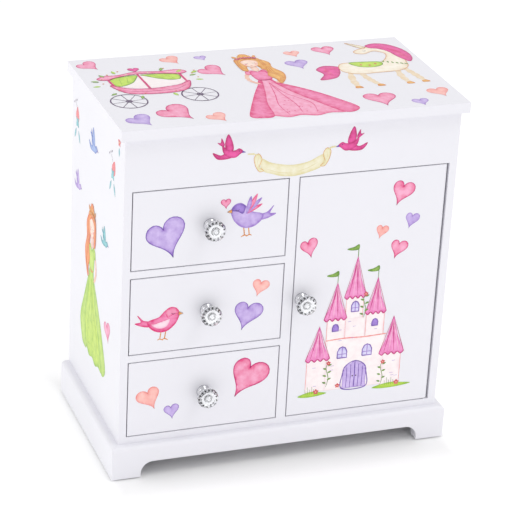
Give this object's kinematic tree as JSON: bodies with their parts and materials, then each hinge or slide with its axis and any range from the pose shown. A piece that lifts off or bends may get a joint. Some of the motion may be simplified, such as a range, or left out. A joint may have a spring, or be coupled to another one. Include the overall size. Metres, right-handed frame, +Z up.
{
  "type": "ballerina jewellery box",
  "caption": "White musical jewellery box with a hinged mirror lid, drawers, a necklace cupboard with a door, crystal knobs and a dancer on a wound music movement.",
  "frame": {"origin": "on the surface that the box stands on, under the middle of its bounding box", "axes": "+X to the right when the drawers are looked at, +Y to the back where the lid is hinged, +Z up"},
  "size_m": [0.2516, 0.164, 0.2621],
  "materials": {
    "white_lacquer": "fibreboard with a satin white lacquer",
    "felt_pad": "pressed felt",
    "flocking": "pink flocked card",
    "plush": "padded pink plush",
    "brass_plate": "polished",
    "black_ferrite": "magnet in a moulded case",
    "nylon": "satin",
    "nickel_steel": "nickel plated",
    "white_card": "matte",
    "zinc_alloy": "cast zinc, gilt lacquered",
    "spring_steel": "hardened, satin",
    "mirror_glass": "silvered glass",
    "clear_crystal": "clear cut acrylic",
    "raw_board": "stiff board wrapped in white paper",
    "painted_figure": "moulded figure, hand painted",
    "tulle": "stiffened tulle"
  },
  "bodies": {
    "cabinet": {"side_panel_left": "white_lacquer", "side_panel_right": "white_lacquer", "back_panel": "white_lacquer", "bottom_board": "white_lacquer", "centre_divider": "white_lacquer", "drawer_shelves": "white_lacquer", "tray_floor": "white_lacquer", "front_apron": "white_lacquer", "plinth_front": "white_lacquer", "plinth_sides": "white_lacquer", "plinth_back": "white_lacquer", "foot_pads": "felt_pad", "tray_insert": "flocking", "ring_rolls": "plush", "cupboard_lining": "flocking", "necklace_hooks": "brass_plate", "door_magnet": "black_ferrite", "door_pivot_bushes": "nylon", "lid_hinge_lower_leaves": "nickel_steel", "lid_hinge_pins": "nickel_steel", "movement_cover": "white_card", "bedplate": "zinc_alloy", "comb": "spring_steel", "movement_screws": "nickel_steel", "spring_barrel": "nickel_steel", "spindle_bush": "brass_plate"},
    "lid": {"lid_panel": "white_lacquer", "lid_mirror": "mirror_glass", "mirror_frame": "flocking", "lid_hinge_upper_leaves": "nickel_steel"},
    "door": {"door_panel": "white_lacquer", "door_knob": "clear_crystal", "door_knob_screw": "nickel_steel", "door_pivot_pins": "nickel_steel", "door_strike_plate": "nickel_steel"},
    "drawer_top": {"drawer_front_top": "white_lacquer", "drawer_box_top": "raw_board", "drawer_lining_top": "flocking", "drawer_knob_top": "clear_crystal", "drawer_screw_top": "nickel_steel"},
    "drawer_middle": {"drawer_front_middle": "white_lacquer", "drawer_box_middle": "raw_board", "drawer_lining_middle": "flocking", "drawer_knob_middle": "clear_crystal", "drawer_screw_middle": "nickel_steel"},
    "drawer_bottom": {"drawer_front_bottom": "white_lacquer", "drawer_box_bottom": "raw_board", "drawer_lining_bottom": "flocking", "drawer_knob_bottom": "clear_crystal", "drawer_screw_bottom": "nickel_steel"},
    "key": {"winding_key": "nickel_steel"},
    "drive_wheel": {"great_wheel": "brass_plate"},
    "spindle": {"dancer_spindle": "nickel_steel", "pinned_cylinder": "brass_plate", "dancer_spring": "spring_steel"},
    "dancer": {"ballerina": "painted_figure", "tutu": "tulle"},
    "second_wheel": {"governor_wheel": "brass_plate"},
    "fly": {"governor_fly": "nickel_steel"},
    "stop_wire": {"stop_pin": "spring_steel"}
  },
  "joints": [
    {"name": "lid_hinge", "type": "hinge", "parent": "cabinet", "child": "lid", "pos_m": [0, 0.0677, 0.2546], "axis": [-1, 0, 0], "range_deg": [0, 98]},
    {"name": "door_hinge", "type": "hinge", "parent": "cabinet", "child": "door", "pos_m": [0.1107, -0.0625, 0.1236], "axis": [0, 0, 1], "range_deg": [0, 100]},
    {"name": "drawer_top_slide", "type": "slide", "parent": "cabinet", "child": "drawer_top", "axis": [0, -1, 0], "range_m": [0, 0.085]},
    {"name": "drawer_middle_slide", "type": "slide", "parent": "cabinet", "child": "drawer_middle", "axis": [0, -1, 0], "range_m": [0, 0.085]},
    {"name": "drawer_bottom_slide", "type": "slide", "parent": "cabinet", "child": "drawer_bottom", "axis": [0, -1, 0], "range_m": [0, 0.085]},
    {"name": "key_turn", "type": "hinge", "parent": "cabinet", "child": "key", "pos_m": [0.054, 0.072, 0.2004], "axis": [0, 1, 0], "continuous": true},
    {"name": "spindle_spin", "type": "hinge", "parent": "cabinet", "child": "spindle", "pos_m": [0.054, 0.018, 0.2004], "axis": [0, 0, 1], "continuous": true},
    {"name": "drive_wheel_spin", "type": "hinge", "parent": "cabinet", "child": "drive_wheel", "pos_m": [0.054, 0.029, 0.2004], "axis": [0, 1, 0], "continuous": true},
    {"name": "second_wheel_spin", "type": "hinge", "parent": "cabinet", "child": "second_wheel", "pos_m": [0.042, 0.018, 0.2059], "axis": [0, 0, 1], "continuous": true},
    {"name": "fly_spin", "type": "hinge", "parent": "cabinet", "child": "fly", "pos_m": [0.0363, 0.018, 0.2059], "axis": [0, 1, 0], "continuous": true},
    {"name": "dancer_rise", "type": "hinge", "parent": "spindle", "child": "dancer", "pos_m": [0.054, 0.018, 0.2255], "axis": [-1, 0, 0], "range_deg": [0, 65]},
    {"name": "stop_wire_lift", "type": "slide", "parent": "cabinet", "child": "stop_wire", "axis": [0, 0, 1], "range_m": [0, 0.004]}
  ],
  "couplings": [
    {"joint": "drive_wheel_spin", "follows": "spindle_spin", "ratio": 0.8},
    {"joint": "second_wheel_spin", "follows": "spindle_spin", "ratio": -3},
    {"joint": "fly_spin", "follows": "spindle_spin", "ratio": -60},
    {"joint": "dancer_rise", "follows": "lid_hinge", "ratio": 0.66},
    {"joint": "stop_wire_lift", "follows": "lid_hinge", "m_per_rad": 0.0023}
  ]
}
